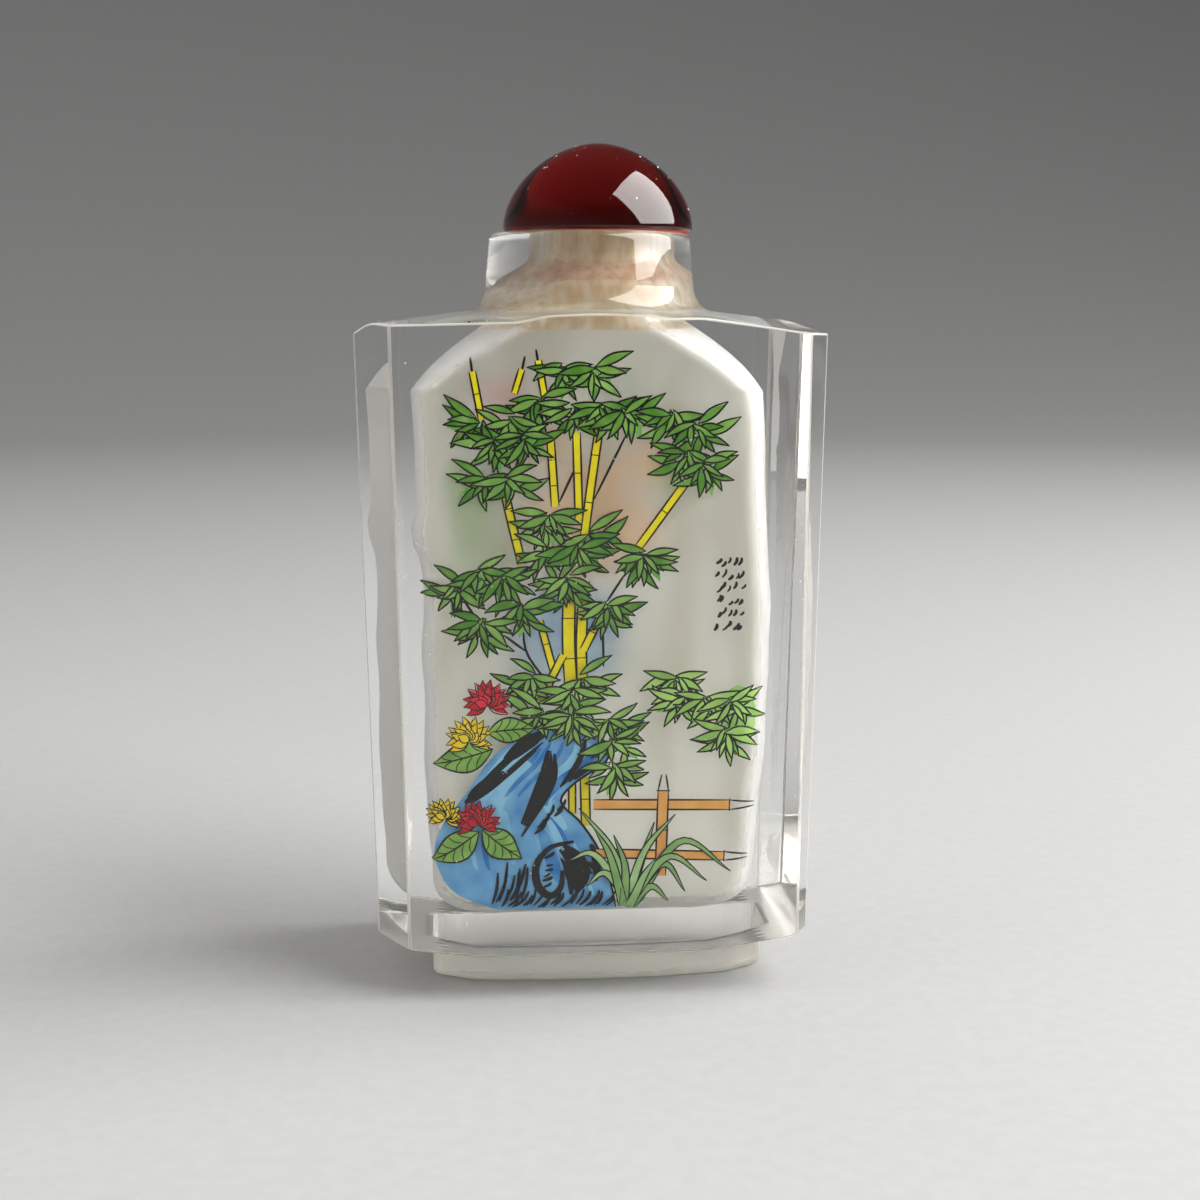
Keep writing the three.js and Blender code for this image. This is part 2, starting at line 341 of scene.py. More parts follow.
def foot_outline():
    """The foot in plan: bowed at front and back, with cut corners."""
    bow_x, bow_y = FOOT_BOW_END
    across = np.linspace(-bow_x, bow_x, OUTLINE_STEPS)
    bow = FOOT_BOW_MIDDLE_Y - (FOOT_BOW_MIDDLE_Y - bow_y) * (across / bow_x) ** 2
    front = np.column_stack([across, -bow])
    right = [(FOOT_HALF_WIDTH, -FOOT_END_Y), (FOOT_HALF_WIDTH, FOOT_END_Y)]
    left = [(-FOOT_HALF_WIDTH, FOOT_END_Y), (-FOOT_HALF_WIDTH, -FOOT_END_Y)]
    return dense(np.concatenate([front, right, -front, left])) + (FOOT_X, 0)


def side_wave(heights, side):
    """The slight waviness of the hollow's left or right end."""
    waves = [noise.noise((side, 0, z / SIDE_WAVE_LENGTH)) for z in heights.ravel()]
    return SIDE_WAVE * np.reshape(waves, heights.shape)


def floor_pull(heights, radius):
    """How far a wall is drawn in above the hollow's rounded floor."""
    sunk = np.clip((HOLLOW_FLOOR_Z + radius - heights) / radius, 0, 1)
    return radius * (1 - np.sqrt(1 - sunk ** 2))


def hollow_sides(heights):
    """Left and right ends of the hollow at each height, a little wavy as ground by hand."""
    heights = np.asarray(heights, float)
    left = smooth_through(HOLLOW_LEFT, heights) + side_wave(heights, -1)
    right = smooth_through(HOLLOW_RIGHT, heights) + side_wave(heights, 1)
    pulled_in = floor_pull(heights, HOLLOW_FLOOR_ROUND)
    return left + pulled_in, right - pulled_in


def hollow_half_depth(heights):
    return HOLLOW_HALF_DEPTH - floor_pull(heights, HOLLOW_ROUND)


def past_flat(x, z):
    """How far points of the picture lie past the flat of the wall."""
    left, right = hollow_sides(z)
    return np.maximum(np.maximum(left + HOLLOW_ROUND - x, x - right + HOLLOW_ROUND), 0)


def wall_depth(x, z):
    """Distance of a painted wall from the middle plane, at points of the picture."""
    curve = np.sqrt(np.maximum(HOLLOW_ROUND ** 2 - past_flat(x, z) ** 2, 0))
    return hollow_half_depth(z) - HOLLOW_ROUND + curve


def rounded_outline(left, right, half_depth, radius):
    """A rectangle in plan with round corners."""
    radius = min(radius, half_depth, (right - left) / 2)
    turn = np.linspace(0, math.pi / 2, OUTLINE_STEPS)
    outline = []
    for quarter, (x, y) in enumerate(((right, 1), (left, 1), (left, -1), (right, -1))):
        centre_x = x - radius if x == right else x + radius
        centre_y = y * (half_depth - radius)
        outline.append(circle(centre_x, radius, turn + quarter * math.pi / 2) + (0, centre_y))
    return dense(np.concatenate(outline))


def bezier(start, bend, end, share):
    return (1 - share) ** 2 * start + 2 * share * (1 - share) * bend + share ** 2 * end


def foot_rings(bottom_plan):
    """Rings from the middle of the underside, round the foot's edge and along the belly."""
    angles = np.arctan2(bottom_plan[:, 1], bottom_plan[:, 0] - FOOT_X)
    outline = foot_outline()
    rings = [ring_at(seen_from(outline, FOOT_X, angles, FOOT_EDGE) * INNER_RING, 0)]
    for inset, rise in round_over(FOOT_EDGE):
        rings.append(ring_at(seen_from(outline, FOOT_X, angles, inset), rise))
    foot_plan = seen_from(outline, FOOT_X, angles)
    for share in np.linspace(0, 1, ARC_STATIONS)[:-1]:
        plan = mix(foot_plan, bottom_plan, share)
        rings.append(ring_at(plan, belly_height(plan)))
    return rings


def neck_rings(top_plan):
    """Rings over the shoulder, up the neck, round the rim and down the mouth and throat."""
    offset = top_plan - (NECK_X, 0)
    angles = np.arctan2(offset[:, 1], offset[:, 0])
    beyond = np.hypot(*offset.T) - NECK_LOW_RADIUS
    rings = []
    for share in np.linspace(1, 0, SHOULDER_STATIONS)[1:]:
        plan = circle(NECK_X, NECK_LOW_RADIUS + beyond * share ** 2, angles)
        rings.append(ring_at(plan, shoulder_height(plan)))
    profile = []
    shares = np.linspace(0, 1, ARC_STATIONS)
    for share in shares[1:-1]:
        height = mix(FLARE_FOOT_Z + FLARE_RADIUS, RIM_Z - RIM_ROUND, share)
        profile.append((NECK_X, mix(NECK_LOW_RADIUS, NECK_TOP_RADIUS, share), height))
    profile += [(NECK_X, NECK_TOP_RADIUS - inset, RIM_Z - drop) for drop, inset in round_over(RIM_ROUND)]
    frosted_from = len(rings) + len(profile)
    profile += [(MOUTH_X, MOUTH_RADIUS + growth, RIM_Z - drop) for growth, drop in round_over(MOUTH_EDGE)]
    for share in shares:
        radius = mix(MOUTH_RADIUS, THROAT_RADIUS, ease(share))
        profile.append((MOUTH_X, radius, mix(MOUTH_LAND_Z, THROAT_Z, share)))
    rings += [ring_at(circle(centre_x, radius, angles), height) for centre_x, radius, height in profile]
    return rings, frosted_from, angles


def hollow_rings(angles):
    """Rings down the hollow, from its roof to its floor."""
    rings = []
    roof_x, roof_z = HOLLOW_ROOF
    bend_x, bend_z = HOLLOW_ROOF_BEND
    left_end, right_end = hollow_sides(HOLLOW_SIDE_TOP_Z)
    for share in np.linspace(0, 1, ARC_STATIONS * 2)[:-1]:
        left = bezier(-roof_x, -bend_x, left_end, share)
        right = bezier(roof_x, bend_x, right_end, share)
        outline = rounded_outline(left, right, HOLLOW_HALF_DEPTH, mix(THROAT_RADIUS, HOLLOW_ROUND, share))
        height = bezier(roof_z, bend_z, HOLLOW_SIDE_TOP_Z, share)
        rings.append(ring_at(seen_from(outline, MOUTH_X, angles), height))
    floor_side_z = HOLLOW_FLOOR_Z + HOLLOW_FLOOR_ROUND
    straight = np.linspace(HOLLOW_SIDE_TOP_Z, floor_side_z, HOLLOW_STATIONS)
    turns = np.linspace(0, math.pi / 2, ARC_STATIONS * 2)[1:]
    curved = HOLLOW_FLOOR_Z + HOLLOW_FLOOR_ROUND * (1 - np.sin(turns))
    for height in np.concatenate([straight, curved]):
        left, right = hollow_sides(height)
        outline = rounded_outline(left, right, float(hollow_half_depth(height)), HOLLOW_ROUND)
        rings.append(ring_at(seen_from(outline, MOUTH_X, angles), height))
    middle = rings[-1].mean(axis=0)
    rings.append(middle + (rings[-1] - middle) * INNER_RING)
    return rings


def make_bottle(finishes):
    """The bottle as one closed skin: clear outside, frosted hollow, lined neck and ground edges."""
    count = len(SEGMENT)
    bottom = belly_height(body_plan(np.full(count, SIDE_BOTTOM_Z)))
    top = shoulder_height(body_plan(np.full(count, SIDE_TOP_Z)))
    lower = foot_rings(body_plan(bottom))
    sides = []
    for share in np.linspace(0, 1, BODY_STATIONS):
        heights = mix(bottom, top, share)
        sides.append(ring_at(body_plan(heights), heights))
    upper, lined_from, angles = neck_rings(body_plan(top))
    points, faces = loft(lower + sides + upper + hollow_rings(angles))
    first_upper = len(lower) + len(sides)
    outside = slice(len(lower) * count, first_upper * count)
    points[outside] += [face_wave(point) for point in points[outside]]
    bottle = mesh_object("glass_bottle", points, faces, finishes)
    starts = {
        CLEAR: len(lower),
        LINED: first_upper + lined_from,
        COARSE: first_upper - 1 + len(upper) + STAINED_STATIONS,
    }
    finish_faces(bottle.data, np.array([min(face) // count for face in faces]), starts)
    round_edges(bottle, ground_edges(len(lower), first_upper - 1, count))
    return bottle


def finish_faces(mesh, face_ring, starts):
    """Gives each face its finish, from the ring that it starts on and the way it faces."""
    normals = np.array([face.normal for face in mesh.polygons])
    centres = np.array([face.center for face in mesh.polygons]) / MM
    beside_foot = np.abs(centres[:, 0] - FOOT_X) > FOOT_HALF_WIDTH - FOOT_EDGE
    finish = np.where(beside_foot | (face_ring < ARC_STATIONS), GROUND, SATIN)
    for coat, start in starts.items():
        finish[face_ring >= start] = coat
    finish[(finish == COARSE) & (np.abs(normals[:, 1]) > PAINTED_WALL_FACING)] = FROSTED
    mesh.polygons.foreach_set("material_index", finish)


def face_wave(point):
    """A slow swell of the hand-polished faces, in the direction that they face."""
    swell = FACE_WAVE * noise.noise(Vector(point) / FACE_WAVE_LENGTH)
    deep = abs(point[1]) / HALF_DEPTH
    return (0, -math.copysign(swell, point[1]) * deep, 0)


def ground_edges(first_ring, last_ring, count):
    """The pairs of points on the body's upright edges and on its top and bottom edges."""
    corner_columns = np.concatenate([[0], np.cumsum(SEGMENT_STEPS)[:-1]])
    pairs = set()
    for ring in range(first_ring, last_ring):
        for column in corner_columns:
            pairs.add((ring * count + int(column), (ring + 1) * count + int(column)))
    for ring in (first_ring, last_ring):
        for column in range(count):
            ends = (ring * count + column, ring * count + (column + 1) % count)
            pairs.add((min(ends), max(ends)))
    return pairs


def round_edges(piece, pairs):
    """Rounds the marked edges a little and keeps the faces beside them flat."""
    mesh = piece.data
    weights = mesh.attributes.new("bevel_weight_edge", "FLOAT", "EDGE")
    marked = [float(tuple(sorted(edge.vertices)) in pairs) for edge in mesh.edges]
    weights.data.foreach_set("value", marked)
    bevel = piece.modifiers.new("ground edges", "BEVEL")
    bevel.limit_method = "WEIGHT"
    bevel.width = EDGE_ROUND * MM
    bevel.segments = EDGE_SEGMENTS
    bevel.material = GROUND
    bevel.use_clamp_overlap = True
    even = piece.modifiers.new("even faces", "WEIGHTED_NORMAL")
    even.keep_sharp = False


def turned(name, profile, centre_x, material, dent=None):
    """A piece turned about an upright axis from (radius, height) points, with dents if asked."""
    angles = np.linspace(0, 2 * np.pi, ROUND_STEPS, endpoint=False)
    rings = []
    for radius, height in profile:
        ring = ring_at(circle(centre_x, radius, angles), height)
        if dent is not None:
            middle = np.array((centre_x, 0, height))
            ring += [(middle - point) / radius * dent(point) for point in ring]
        rings.append(ring)
    points, faces = loft(rings)
    return mesh_object(name, points, faces, [material])


def dome_point(turn, base_z):
    """Radius and height of a point on the dome's curve, at an angle above its edge."""
    power = 2 / DOME_FULLNESS
    low = base_z + DOME_EDGE
    rise = (RIM_Z + DOME_HEIGHT - low) * math.sin(turn) ** power
    return DOME_RADIUS * math.cos(turn) ** power, low + rise


def make_dome(body, base):
    """The dome: a full, slightly pointed curve on a flat ground base with a softened edge."""
    base_z = RIM_Z + AIR_GAP
    profile = [(DOME_RADIUS * INNER_RING, base_z)]
    profile += [(DOME_RADIUS - inset, base_z + rise) for inset, rise in round_over(DOME_EDGE)]
    profile += [dome_point(turn, base_z) for turn in np.linspace(0, math.pi / 2, ROUND_STEPS // 2)[1:-1]]
    dome = turned("red_dome", profile, MOUTH_X, body)
    dome.data.materials.append(base)
    for face in dome.data.polygons:
        face.material_index = int(face.normal.z < DOME_BASE_FACING)
    return dome


def cork_dent(point):
    """Pits in the cork's skin, of two sizes."""
    wide, narrow = (noise.noise(Vector(point) * scale) for scale in CORK_PIT_SCALES)
    return CORK_PIT * max(wide + narrow / 2, 0)


def make_cork(material):
    """The cork: a pitted plug that tapers a little."""
    low = CORK_LOW_Z + CORK_EDGE
    top = RIM_Z - AIR_GAP
    profile = [(CORK_LOW_RADIUS * INNER_RING, CORK_LOW_Z)]
    profile += [(CORK_LOW_RADIUS - inset, CORK_LOW_Z + rise) for inset, rise in round_over(CORK_EDGE)]
    for share in np.linspace(0, 1, ROUND_STEPS // 2)[1:]:
        profile.append((mix(CORK_LOW_RADIUS, CORK_RADIUS, share), mix(low, top, share)))
    profile.append((CORK_RADIUS * INNER_RING, top))
    return turned("cork_plug", profile, MOUTH_X, material, cork_dent)


# Materials

GLASS_REFRACTION = 1.5
RED_REFRACTION = 1.52
RED_DENSITY = 300
CORK_DETAIL = 6.0
STREAK_STRETCH = 3
STREAK_SHARE = 0.7


def new_material(name, roughness):
    """A node material of this roughness, with its tree and its shader."""
    material = bpy.data.materials.new(name)
    material.use_nodes = True
    shader = material.node_tree.nodes["Principled BSDF"]
    shader.inputs["Roughness"].default_value = roughness
    return material, material.node_tree, shader


def add_noise(tree, scale, detail=1.0, stretch=1):
    """Noise in the part's own space, in features per millimetre, drawn out upright if asked."""
    place = tree.nodes.new("ShaderNodeTexCoord")
    drawn = tree.nodes.new("ShaderNodeMapping")
    drawn.inputs["Scale"].default_value = (1, 1, 1 / stretch)
    grain = tree.nodes.new("ShaderNodeTexNoise")
    grain.inputs["Scale"].default_value = scale / MM
    grain.inputs["Detail"].default_value = detail
    tree.links.new(place.outputs["Object"], drawn.inputs["Vector"])
    tree.links.new(drawn.outputs["Vector"], grain.inputs["Vector"])
    return grain.outputs["Fac"]


def add_bump(tree, shader, scale, strength, depth, stretch=1):
    """Fine relief from a noise, its depth in millimetres."""
    bump = tree.nodes.new("ShaderNodeBump")
    bump.inputs["Strength"].default_value = strength
    bump.inputs["Distance"].default_value = depth * MM
    tree.links.new(add_noise(tree, scale, stretch=stretch), bump.inputs["Height"])
    tree.links.new(bump.outputs["Normal"], shader.inputs["Normal"])


def mottle(tree, shader, source, *stops):
    """Colours a shader from a value, by (position, colour) stops."""
    ramp = tree.nodes.new("ShaderNodeValToRGB")
    elements = ramp.color_ramp.elements
    while len(elements) < len(stops):
        elements.new(0.5)
    for element, (position, colour) in zip(elements, stops):
        element.position = position
        element.color = colour
    tree.links.new(source, ramp.inputs["Fac"])
    tree.links.new(ramp.outputs["Color"], shader.inputs["Base Color"])


def glass(name, transmission, roughness, relief, colour=None, streaks=None, refraction=GLASS_REFRACTION):
    """A glass that lets a share of the light through, with fine relief, in one colour or streaked."""
    material, tree, shader = new_material(name, roughness)
    shader.inputs["Transmission Weight"].default_value = transmission
    shader.inputs["IOR"].default_value = refraction
    add_bump(tree, shader, *relief)
    if streaks is None:
        shader.inputs["Base Color"].default_value = colour
    else:
        scale, *stops = streaks
        mottle(tree, shader, add_noise(tree, scale, stretch=STREAK_STRETCH), *stops)
    return material


def make_finishes():
    """The bottle's finishes, in the order of their numbers."""
    frost_streaks = (0.16, (0.38, srgb(232, 229, 213)), (0.58, srgb(255, 255, 246)))
    stain_streaks = (1.4, (0.35, srgb(224, 200, 160)), (0.65, srgb(248, 236, 212)))
    return [
        # Polished faces with faint hand-polishing marks
        glass("clear glass", 1, 0.01, (0.35, 0.06, 0.05), (0.985, 0.99, 0.985, 1)),
        # The ground inside of the hollow: milky and half see-through
        glass("frosted glass", 0.73, 0.5, (3.0, 0.14, 0.05, 4), streaks=frost_streaks),
        # The unpainted sides, roof and floor of the hollow, ground more coarsely and whiter
        glass("coarse frosting", 0.57, 0.6, (2.5, 0.25, 0.06), (0.97, 0.965, 0.945, 1)),
        # The ground bore of the neck, stained cream by the cork
        glass("neck lining", 0.52, 0.38, (2.0, 0.3, 0.06), streaks=stain_streaks),
        # The ground edges and lower ends, whitish and a little rough
        glass("ground glass", 0.82, 0.4, (1.2, 0.4, 0.06), srgb(250, 246, 236)),
        # The belly and foot, polished less than the faces
        glass("satin glass", 0.82, 0.18, (0.35, 0.5, 0.16), srgb(248, 246, 240)),
    ]


def red_glass():
    """Deep red glass, darker where it is thicker."""
    material = glass("red glass", 1, 0.02, (0.4, 0.05, 0.05), (1, 0.5, 0.35, 1), refraction=RED_REFRACTION)
    tree = material.node_tree
    absorb = tree.nodes.new("ShaderNodeVolumeAbsorption")
    absorb.inputs["Color"].default_value = (0.6, 0.008, 0.004, 1)
    absorb.inputs["Density"].default_value = RED_DENSITY
    tree.links.new(absorb.outputs["Volume"], tree.nodes["Material Output"].inputs["Volume"])
    return material


def dull(name, roughness, scale, dark, light):
    """A dull surface, mottled between two colours."""
    material, tree, shader = new_material(name, roughness)
    mottle(tree, shader, add_noise(tree, scale), (0.3, srgb(*dark)), (0.7, srgb(*light)))
    return material


def red_base():
    """The dull underside of the dome, which glows through the glass."""
    return dull("red base", 0.8, 0.5, (190, 36, 20), (224, 56, 30))


def cork_skin():
    """Pale cork with darker grains."""
    material, tree, shader = new_material("cork", 0.85)
    mottle(
        tree, shader, add_noise(tree, 1.1, CORK_DETAIL),
        (0.3, srgb(140, 104, 70)), (0.42, srgb(206, 174, 132)),
        (0.58, srgb(228, 202, 164)), (0.75, srgb(240, 222, 192)),
    )
    add_bump(tree, shader, 2.2, 0.5, 0.1)
    return material


def paint(name, dark, light):
    """Paint that varies between two tones, from figure to figure and within each."""
    material, tree, shader = new_material(name, 0.6)
    tone = tree.nodes.new("ShaderNodeAttribute")
    tone.attribute_name = "tone"
    streak = tree.nodes.new("ShaderNodeMath")
    streak.operation = "MULTIPLY_ADD"
    streak.inputs[1].default_value = STREAK_SHARE
    tree.links.new(add_noise(tree, 0.5), streak.inputs[0])
    tree.links.new(tone.outputs["Fac"], streak.inputs[2])
    mottle(tree, shader, streak.outputs["Value"], (0.3, srgb(*dark)), (1.0, srgb(*light)))
    shader.inputs["Specular IOR Level"].default_value = 0.1
    return material


def dust():
    """Pale dust and tiny chips on the outside."""
    return dull("dust", 0.8, 2.0, (190, 186, 178), (244, 242, 238))


def studio_floor():
    return dull("studio floor", 0.75, 0.6, (157, 158, 159), (160, 161, 162))


PAINTS = {
    "ink": ((10, 11, 12), (28, 28, 30)),
    "leaf": ((80, 144, 36), (182, 226, 122)),
    "wash": ((96, 172, 62), (176, 222, 136)),
    "bamboo": ((246, 214, 0), (255, 244, 30)),
    "rock": ((44, 128, 206), (150, 212, 248)),
    "red": ((190, 0, 30), (250, 50, 70)),
    "yellow": ((250, 212, 0), (255, 236, 50)),
    "orange": ((222, 132, 40), (252, 196, 116)),
    "grass": ((110, 164, 84), (186, 220, 158)),
    "peach": ((238, 138, 96), (252, 206, 176)),
    "bark": ((84, 58, 40), (140, 104, 76)),
    "moss": ((84, 148, 0), (132, 180, 36)),
    "coral": ((255, 158, 48), (255, 196, 100)),
    "pool": ((0, 126, 206), (56, 172, 240)),
    "chalk": ((206, 205, 200), (244, 243, 240)),
}


# Painted figures, in shares of their own size, degrees and millimetres

INK_TONE = 0.3
LINE_END = 0.45
SHORTEST = 1e-6
BLADE_BELLY = 0.85
BLADE_POINT = 1.15
LEAF_BEND = 0.3
LEAF_TURN = 9
LEAF_REACH = 0.72
SIDE_REACH = 0.7
LEAF_WIDTHS = (0.2, 0.27)
FOOT_SCATTER = 0.35
COLOUR_SLIP = 0.12
TONE_SPREAD = 0.15
FAN_SPREAD = 190
LEAN_SHARE = 0.5
EXTRA_LEAVES = 2
LOWER_FAN = 1.0
SPRAY_LENGTH = 3.1
BACK_SPRAY_LENGTH = 4.0
WASH_TURN = 40
WASH_WIDTH = 0.36
WASH_BEND = 0.2
WASH_STEPS = 15
STALK_TONE = 0.4
JOINT_REACH = 1.25
JOINT_INK = INK_WIDTH * 1.2
RAIL_SHARE = 0.84
RAIL_JOINT_REACH = 1.3
RAIL_JOINT_INK = INK_WIDTH * 1.5
RAIL_NARROWING = (0.7, 0.4)
PETAL_TURN = 6
PETAL_WIDTH = 0.34
BROAD_BEND = 0.15
BROAD_STEPS = 13
BROAD_TONE = 0.25
MIDDLE_VEIN = INK_WIDTH * 0.9
SIDE_VEIN = INK_WIDTH * 0.6
HEAVY_INK = INK_WIDTH * 1.3
BRUSH_STEPS = 22
BRUSH_CORE = 0.6
HAIRS_PER_WIDTH = 7
HAIR_SPREAD = 0.55
HAIR_WIDTHS = (0.2, 0.42)
RAGGED_STEPS = 6
HATCH_SCATTER = 0.2
HATCH_TURN = 14
HATCH_REACH = (0.6, 1.2)
HATCH_WIDTHS = (0.2, 0.36)
HATCH_BOW = (0.6, 0.5)
HATCH_BULGE = (0.1, 0)
ROCK_TONE = 0.3
ROCK_ROWS = 40
ROCK_STREAKS = 26
STREAK_ROWS = 12
STREAK_WIDTHS = (0.4, 1.3)
STREAK_TONES = (0.0, 0.55, 0.75)
GRASS_SCATTER = 0.5
GRASS_STEPS = 16
GRASS_HALF_WIDTH = 0.4
GRASS_TIP = 0.02
GRASS_TONES = (0.15, 0.45)
GRASS_INK = INK_WIDTH * 0.8
RIDGE_STEPS = 15
RIDGE_RISE = 1.6
PATCH_ROWS = 18

# Rings of petals as (petals, length, fan, drop of the foot, tone)
PETAL_RINGS = ((12, 0.9, 250, 0.18, 0.15), (9, 0.72, 200, 0.24, 0.27), (6, 0.5, 130, 0.3, 0.39))


def heading(angle):
    """The unit direction at an angle in degrees."""
    turn = math.radians(angle)
    return np.array((math.cos(turn), math.sin(turn)))


def sideways(line):
    """Unit directions at right angles to a line, at each of its points."""
    along = np.gradient(line, axis=0)
    length = np.maximum(np.hypot(*along.T), SHORTEST)
    return np.column_stack([-along[:, 1], along[:, 0]]) / length[:, None]


def on_curve(edge):
    """Whether any point of a film's edge lies on a rounded part of the wall."""
    return past_flat(*edge.T).any() or edge[:, 1].min() < HOLLOW_FLOOR_Z + HOLLOW_ROUND


def finer(points):
    """The same line with more points on it."""
    place = np.arange(len(points))
    at = np.linspace(0, place[-1], place[-1] * CURVED_FINENESS + 1)
    return np.column_stack([np.interp(at, place, values) for values in points.T])


class Picture:
    """Films of paint on one wall of the hollow. Later films lie nearer to the outside of the bottle."""

    def __init__(self, name, facing, seed=SEED, depth=FIRST_FILM, step=FILM_STEP):
        self.name = name
        self.facing = facing
        self.rng = random.Random(seed)
        self.depth = depth
        self.step = step
        self.films = {}

    def between(self, low, high):
        return self.rng.uniform(low, high)

    def jitter(self, reach):
        return self.rng.uniform(-reach, reach)

    def scatter(self, reach):
        return np.array((self.jitter(reach), self.jitter(reach)))

    def strip(self, colour, left, right, tone, columns=2, lift=None):
        """A film between two edges of equal count, over all earlier films or just over the last one."""
        points, faces, tones = self.films.setdefault(colour, ([], [], []))
        if lift is None:
            self.depth += self.step
            lift = 0
        if on_curve(left) or on_curve(right):
            left = finer(left)
            right = finer(right)
            columns *= CURVED_FINENESS
        shares = np.linspace(0, 1, columns + 1)[None, :, None]
        flat = (left[:, None] * (1 - shares) + right[:, None] * shares).reshape(-1, 2)
        depth = wall_depth(flat[:, 0], flat[:, 1]) + self.depth + lift
        start = len(points)
        points.extend(zip(flat[:, 0], self.facing * depth, flat[:, 1]))
        tones.extend([tone] * len(flat))
        width = columns + 1
        for row in range(len(left) - 1):
            for column in range(columns):
                corner = start + row * width + column
                faces.append((corner, corner + 1, corner + width + 1, corner + width))

    def line(self, points, width=INK_WIDTH, colour="ink", tone=INK_TONE, lift=INK_LIFT):
        """A brush line that thins toward its ends."""
        points = np.asarray(points, float)
        share = np.linspace(0, 1, len(points))
        half = 0.5 * width * (LINE_END + (1 - LINE_END) * np.sin(np.pi * share) ** 0.5)
        edge = sideways(points) * half[:, None]
        self.strip(colour, points + edge, points - edge, tone, columns=1, lift=lift)

    def outlined(self, colour, left, right, tone, ink=INK_WIDTH, columns=2, slip=0):
        """A film with an ink line along each edge, its colour a little off them if asked."""
        self.strip(colour, left + slip, right + slip, tone, columns)
        self.line(left, ink)
        self.line(right, ink)

    def pieces(self, materials):
        """The films as mesh pieces, one for each colour."""
        made = []
        for colour, (points, faces, tones) in self.films.items():
            piece = mesh_object(f"{self.name}_{colour}", points, faces, [materials[colour]], smooth=False)
            attribute = piece.data.attributes.new("tone", "FLOAT", "POINT")
            attribute.data.foreach_set("value", tones)
            made.append(piece)
        return made


def curve(points, steps=14):
    """A smooth line through a few points."""
    points = np.array(points, float)
    if len(points) == 2:
        return mix(points[0], points[1], np.linspace(0, 1, steps)[:, None])
    place = np.arange(len(points))
    at = np.linspace(0, len(points) - 1, steps)
    return np.column_stack([smooth_through(np.column_stack([place, values]), at) for values in points.T])


def blade_edges(base, angle, length, width, bend, steps=9):
    """Left edge, right edge and middle of a pointed leaf or petal."""
    share = np.linspace(0, 1, steps)
    ahead = heading(angle)
    aside = np.array((-ahead[1], ahead[0]))
    bow = bend * length * share * (1 - share)
    middle = np.array(base) + share[:, None] * length * ahead + bow[:, None] * aside
    half = (0.5 * width * np.sin(np.pi * share ** BLADE_BELLY) ** BLADE_POINT)[:, None] * aside
    return middle + half, middle - half, middle


def leaf(picture, base, angle, length, width, tone, colour="leaf", ink=INK_WIDTH):
    """One outlined leaf or petal, its colour a little off its outline."""
    left, right, _ = blade_edges(base, angle, length, width, picture.jitter(LEAF_BEND))
    slip = picture.scatter(COLOUR_SLIP)
    picture.outlined(colour, left, right, tone + picture.jitter(TONE_SPREAD), ink, slip=slip)


def sprays(picture, places, tone, length=SPRAY_LENGTH):
    """At each place two fans of leaves, one just past the other, on a loose wash."""
    for x, z, lean, leaves in places:
        joint = np.array((x, z))
        wash_angle = lean + picture.jitter(WASH_TURN)
        left, right, _ = blade_edges(joint, wash_angle, length, length * WASH_WIDTH, WASH_BEND, WASH_STEPS)
        picture.strip("wash", left, right, tone)
        leaf_fan(picture, joint + LOWER_FAN * heading(lean), lean, leaves, tone, length)
        leaf_fan(picture, joint, lean, leaves + EXTRA_LEAVES, tone, length)


def leaf_fan(picture, centre, lean, leaves, tone, length):
    """Leaves that fan out from one point, longest at the sides."""
    order = list(range(leaves))
    picture.rng.shuffle(order)
    for place in order:
        share = place / max(leaves - 1, 1) - 0.5
        angle = mix(-90, lean, LEAN_SHARE) + share * FAN_SPREAD + picture.jitter(LEAF_TURN)
        reach = length * (LEAF_REACH + SIDE_REACH * abs(share)) * picture.between(0.85, 1.15)
        foot = centre + picture.scatter(FOOT_SCATTER)
        leaf(picture, foot, angle, reach, reach * picture.between(*LEAF_WIDTHS), tone)


def stalk(picture, points, width, joints, colour="bamboo"):
    """A bamboo stalk with joints and two ink sides."""
    middle = curve(points)
    across = sideways(middle) * width / 2
    picture.outlined(colour, middle + across, middle - across, STALK_TONE)
    for joint in range(1, joints + 1):
        place = int(len(middle) * joint / (joints + 1))
        reach = across[place] * JOINT_REACH
        picture.line([middle[place] + reach, middle[place] - reach], JOINT_INK)


def rail(picture, start, end, width):
    """A bamboo rail with a joint near its end, past which it thins to bare ink."""
    start, end = np.array((start, end))
    joint = mix(start, end, RAIL_SHARE)
    aside = sideways(np.array((start, end)))[0] * width / 2
    stalk(picture, (start, joint), width, 1, "orange")
    reach = aside * RAIL_JOINT_REACH
    picture.line([joint + reach, joint - reach], RAIL_JOINT_INK)
    at_middle, at_end = RAIL_NARROWING
    for side in (aside, -aside):
        picture.line(curve([joint + side, (joint + end) / 2 + side * at_middle, end + side * at_end], 8))


def flower(picture, x, z, size, colour):
    """A half-open flower of many petals: long ones behind, short ones in front."""
    for petals, length, fan, drop, tone in PETAL_RINGS:
        foot = (x, z - size * drop)
        for petal in range(petals):
            angle = 90 + fan * (petal / (petals - 1) - 0.5) + picture.jitter(PETAL_TURN)
            leaf(picture, foot, angle, size * length, size * PETAL_WIDTH, tone, colour, PETAL_INK)


def broad_leaf(picture, base, angle, length, width):
    """A broad leaf with a strong middle vein and curved side veins."""
    bend = picture.jitter(BROAD_BEND)
    left, right, middle = blade_edges(base, angle, length, width, bend, BROAD_STEPS)
    picture.outlined("leaf", left, right, BROAD_TONE, columns=4)
    picture.line(middle, MIDDLE_VEIN)
    for place in range(2, BROAD_STEPS - 3, 2):
        for edge in (left, right):
            end = edge[place + 2]
            picture.line(curve([middle[place], (middle[place + 1] + end) / 2, end], 6), SIDE_VEIN)


